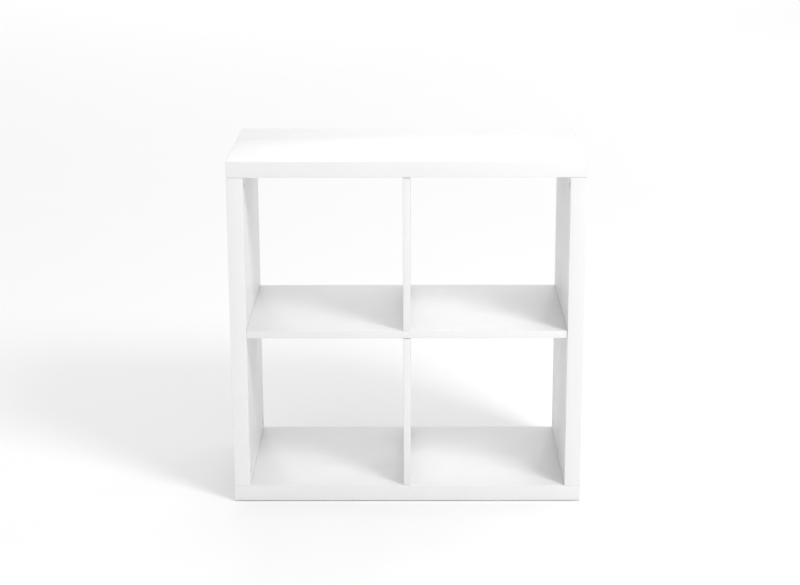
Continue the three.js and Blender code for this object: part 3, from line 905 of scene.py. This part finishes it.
def claw_cutter():
    """The space between a cam's claws: it widens steadily from the locked end to the open end."""
    outline = []
    for k in range(CAM_SIDES):
        angle = math.tau * k / CAM_SIDES
        share = (1 - math.cos(angle)) / 2
        radius = CLAW_NEAR + (CLAW_FAR - CLAW_NEAR) * share
        outline.append((radius * math.cos(angle), radius * math.sin(angle)))
    shape = prism_shape(outline, -CAM_BOLT_LINE - HEAD_SPACE, outline, -CAM_BOLT_LINE + HEAD_SPACE)
    return add_solid("claws", shape)


def oblong(long, wide):
    """The corners of an oblong, given the halves of its sides."""
    return [(x * long, y * wide) for x, y in ((-1, -1), (1, -1), (1, 1), (-1, 1))]


def cross_cutter():
    """A cross recess: two tapering blades at right angles."""
    tip = oblong(CROSS_TIP, CROSS_TIP / 2)
    mouth = oblong(CROSS_LONG / 2, CROSS_WIDE / 2)
    blades = []
    for turn in (0, math.pi / 2):
        shape = prism_shape(tip, -CROSS_DEPTH, mouth, OVERCUT)
        shape.transform(Matrix.Rotation(turn, 4, "Z"))
        blades.append(add_solid("blade", shape))
    return blades


def pointer_cutter(height):
    """The arrow in a cam's face. It points the way that the cam's mouth opens."""
    back = POINTER_LONG - POINTER_TIP
    outline = [(-POINTER_TIP, 0), (back, -POINTER_WIDE / 2), (back, POINTER_WIDE / 2)]
    return add_solid("pointer", prism_shape(outline, height - POINTER_DEEP, outline, height + OVERCUT))


def cam_mesh():
    """A cam in its own frame: +Z out of its face, +X towards the bolt that it holds."""
    outer = CAM_RADIUS
    profile = [(0, -CAM_LENGTH), (outer - CAM_EDGE, -CAM_LENGTH), (outer, CAM_EDGE - CAM_LENGTH)]
    profile += arc((outer - CAM_EDGE, -CAM_EDGE), CAM_EDGE, 0, 90)
    dish = outer - CAM_RIM
    profile += [(dish, 0), (dish - CAM_DISH, -CAM_DISH), (0, -CAM_DISH)]
    cam = add_solid("cam", turned_shape(profile, CAM_SIDES))
    past = outer + OVERCUT
    low, high = -CAM_BOLT_LINE - NECK_SPACE, -CAM_BOLT_LINE + NECK_SPACE
    slot = block("slot", (-past, -past, low), (past, NECK_SPACE, high))
    mouth_shape = turned_shape([(0, 0), (HEAD_SPACE, 0), (HEAD_SPACE, past), (0, past)], CAM_SIDES)
    mouth_shape.transform(frame_towards((0, 0, -CAM_BOLT_LINE), (-1, 0, 0)))
    mouth = add_solid("mouth", mouth_shape)
    carve(cam, [claw_cutter(), slot, mouth, *cross_cutter(), pointer_cutter(-CAM_DISH)])
    mesh = cam.data.copy()
    bpy.data.objects.remove(cam)
    return mesh


def make_cams(material):
    template = cam_mesh()
    for joint in frame["joints"]:
        place = Vector(joint["pos_m"])
        towards = Vector((0, 0, 1.0 if place.z > CASE_MIDDLE.z else -1.0))
        cam = add_object(f"{joint['child']}_cast", template.copy())
        cam.data.transform(frame_towards(place, joint["axis"], towards))
        fit(cam, joint["child"], material)


def bolt_profile():
    """A bolt's outline from the thread's tip up to the head."""
    crown = arc((HEAD_RADIUS - CROWN_ROUNDING, HEAD_TOP - CROWN_ROUNDING), CROWN_ROUNDING, 0, 90)
    return [
        (0, -THREAD_LENGTH),
        (THREAD_CORE * THREAD_POINT, -THREAD_LENGTH),
        (THREAD_CORE, THREAD_TIP - THREAD_LENGTH),
        (THREAD_CORE, COLLAR_BASE),
        (COLLAR_RADIUS - COLLAR_EDGE, COLLAR_BASE),
        (COLLAR_RADIUS, COLLAR_BASE + COLLAR_EDGE),
        (COLLAR_RADIUS, COLLAR_TOP - COLLAR_EDGE),
        (COLLAR_RADIUS - COLLAR_EDGE, COLLAR_TOP),
        (SHANK_RADIUS, COLLAR_TOP),
        (SHANK_RADIUS, SHANK_END - NECK_TAPER),
        (NECK_RADIUS, SHANK_END),
        (NECK_RADIUS, HEAD_CONE),
        (HEAD_RADIUS, HEAD_RIM),
        *crown,
        (0, HEAD_TOP),
    ]


def bolt_mesh(thread):
    """A cam bolt in its own frame: z = 0 at the face that it is screwed into, with its head up."""
    bolt = add_solid("bolt", turned_shape(bolt_profile(), BOLT_SIDES))
    blades = cross_cutter()
    for blade in blades:
        blade.data.transform(Matrix.Translation((0, 0, HEAD_TOP)) @ Matrix.Scale(BOLT_CROSS, 4))
    carve(bolt, blades)
    ridge = THREAD_OUTER - THREAD_CORE
    length = THREAD_LENGTH - THREAD_TIP - ridge
    turns = length / THREAD_PITCH
    helix = thread.make("helix", Radius=THREAD_CORE, Length=length, Turns=turns, Ridge=ridge, Material=None)
    helix.data.transform(Matrix.Translation((0, 0, -length - ridge)))
    shape = bmesh.new()
    shape.from_mesh(bolt.data)
    shape.from_mesh(helix.data)
    for used in (bolt, helix):
        bpy.data.objects.remove(used)
    return mesh_of(shape, "bolt")


def make_bolts(material):
    template = bolt_mesh(thread_rule())
    for node in nodes_named("cam_bolt_"):
        low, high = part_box(node)
        standing = (low.z + high.z) / 2 < CASE_MIDDLE.z
        out = Vector((0, 0, 1.0 if standing else -1.0))
        face = low.z + THREAD_LENGTH if standing else high.z - THREAD_LENGTH
        centre = (low + high) / 2
        bolt = add_object(f"{node}_plated", template.copy())
        bolt.data.transform(frame_towards((centre.x, centre.y, face), out))
        fit(bolt, node, material)


def make_dowels(upright, across):
    rule = flute_rule()
    for node in nodes_named("_dowel_"):
        low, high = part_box(node)
        size = high - low
        lying = size.x > size.z
        material = across if lying else upright
        dowel = rule.make(
            f"{node}_fluted", Radius=DOWEL_RADIUS, Length=max(size), Chamfer=DOWEL_CHAMFER,
            Flutes=float(FLUTES), Depth=FLUTE_DEPTH, Points=FLUTES * FLUTE_POINTS, Material=material,
        )
        out = Vector((1, 0, 0)) if lying else Vector((0, 0, 1))
        dowel.data.transform(frame_towards((low + high) / 2, out))
        fit(dowel, node, material)


def glide_profile(radius, nail):
    """A glide's outline from its underside up to the nail's point, for a nail that ends at this height."""
    flat = radius - GLIDE_FLAT
    underside = arc((flat, GLIDE_ROUNDING), GLIDE_ROUNDING, -90, -20)
    return [
        (0, 0),
        *underside,
        (radius, GLIDE_TOP - GLIDE_RIM_DROP),
        (radius - GLIDE_RIM_EDGE, GLIDE_TOP),
        (NAIL_SEAT, GLIDE_TOP),
        (NAIL_RADIUS, GLIDE_TOP),
        (NAIL_RADIUS, nail - NAIL_POINT),
        (0, nail),
    ]


def make_glides(plastic, steel):
    """Glides of moulded plastic, each with a steel nail."""
    for node in nodes_named("glide_"):
        low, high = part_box(node)
        centre = (low + high) / 2
        radius = (high.x - low.x) / 2
        shape = turned_shape(glide_profile(radius, high.z - low.z), GLIDE_SIDES)
        shape.transform(Matrix.Translation((centre.x, centre.y, low.z)))
        glide = add_solid(f"{node}_moulded", shape)
        fit(glide, node, plastic, steel)
        for face in glide.data.polygons:
            face.material_index = 1 if face.center.z > low.z + GLIDE_TOP + TOUCHING else 0


def stain_frames(material):
    """The frames' own solids are right as they are, and take a chipboard finish."""
    for panel in PANELS:
        node = frame["nodes"][f"{panel}_frame"]
        node.data.materials.clear()
        node.data.materials.append(material)


def build_unit():
    lacquer, foil = white_lacquer(), white_board()
    flat_band = white_edge_band("white_edge_band_flat", (DRAW_LENGTH, DRAW_LENGTH, DRAW_WIDTH))
    upright_band = white_edge_band("white_edge_band_upright", (DRAW_WIDTH, DRAW_WIDTH, DRAW_LENGTH))
    for panel in PANELS:
        for layer in ("outer", "inner"):
            make_skin(panel, layer, lacquer)
        if panel.endswith("side"):
            for edge in ("front", "back"):
                make_band_strip(panel, edge, upright_band)
        else:
            make_band_loop(panel, flat_band)
    make_board("middle_shelf", X, foil)
    make_board("upper_divider", Z, foil)
    make_board("lower_divider", Z, foil)
    comb, paper = comb_rule(), kraft_paper()
    for panel in PANELS:
        make_honeycomb(panel, comb, paper)
    stain_frames(chipboard())
    make_cams(zinc_alloy())
    steel = plated_steel()
    make_bolts(steel)
    make_dowels(beech("beech_upright", (1, 1, GRAIN_RUN)), beech("beech_across", (GRAIN_RUN, 1, 1)))
    make_glides(white_plastic(), steel)


set_camera()
set_light()
lay_floor()
build_unit()
